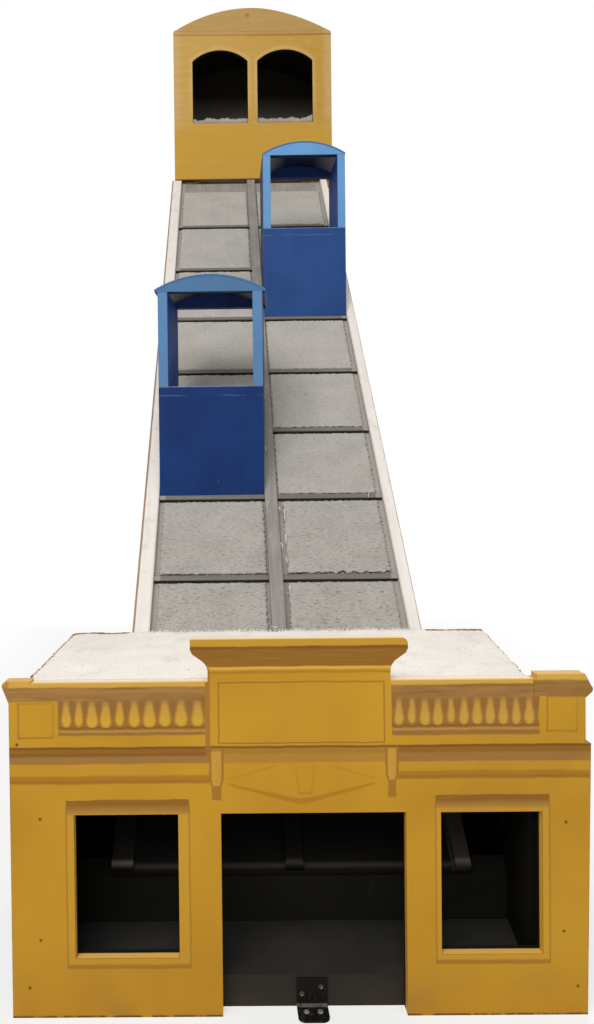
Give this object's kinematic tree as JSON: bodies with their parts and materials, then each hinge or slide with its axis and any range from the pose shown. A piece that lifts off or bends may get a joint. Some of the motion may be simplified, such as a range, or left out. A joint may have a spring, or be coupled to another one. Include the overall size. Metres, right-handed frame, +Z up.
{
  "type": "toy funicular railway cat house",
  "caption": "Wooden toy funicular railway for cats: a lower station, a sloping carpeted ramp with fixed arched cars, and an upper station raised on a post frame.",
  "frame": {"origin": "on the floor, under the middle of the whole object", "axes": "+Z up, the lower station's front looks along -Y, +X to the right seen from the front"},
  "size_m": [0.675, 1.8858, 2.0336],
  "materials": {
    "station_yellow": "satin paint",
    "station_navy": "matt paint",
    "station_dark": "matt paint",
    "bare_plywood": "bare",
    "white_carpet": "cut pile",
    "black_steel": "worn black",
    "ramp_grey": "matt paint",
    "rail_white": "satin paint",
    "strip_grey": "matt paint",
    "batten_grey": "matt paint",
    "grey_carpet": "loop pile",
    "bare_timber": "bare",
    "car_royal_blue": "satin paint",
    "car_blue": "satin paint",
    "car_light_blue": "satin paint",
    "car_roof_navy": "satin paint",
    "upper_yellow": "satin paint",
    "upper_roof_brown": "satin paint"
  },
  "bodies": {
    "root": {"station_front": "station_yellow", "station_left_wall": "station_navy", "station_right_wall": "station_navy", "station_back_wall": "station_navy", "station_floor": "station_dark", "station_floor_bearers": "station_dark", "station_roof": "bare_plywood", "station_roof_carpet": "white_carpet", "floor_bracket": "black_steel", "ramp_foot_board": "station_dark", "ramp_board": "ramp_grey", "ramp_rail_left": "rail_white", "ramp_rail_right": "rail_white", "ramp_centre_strip": "strip_grey", "ramp_battens_left": "batten_grey", "ramp_battens_right": "batten_grey", "ramp_tiles_left": "grey_carpet", "ramp_tiles_right": "grey_carpet", "ramp_bearer": "bare_timber", "low_car_panel": "car_royal_blue", "low_car_left_wall": "car_blue", "low_car_right_wall": "car_blue", "low_car_front_gable": "car_light_blue", "low_car_rear_gable": "car_blue", "low_car_roof": "car_roof_navy", "high_car_panel": "car_royal_blue", "high_car_left_wall": "car_blue", "high_car_right_wall": "car_blue", "high_car_front_gable": "car_light_blue", "high_car_rear_gable": "car_blue", "high_car_roof": "car_roof_navy", "upper_front": "upper_yellow", "upper_left_wall": "upper_yellow", "upper_right_wall": "upper_yellow", "upper_back": "upper_yellow", "upper_floor": "bare_plywood", "upper_roof": "upper_roof_brown", "upper_carpet": "white_carpet", "tower_posts": "bare_timber", "tower_side_ties": "bare_timber", "tower_cross_ties": "bare_timber"}
  },
  "joints": []
}
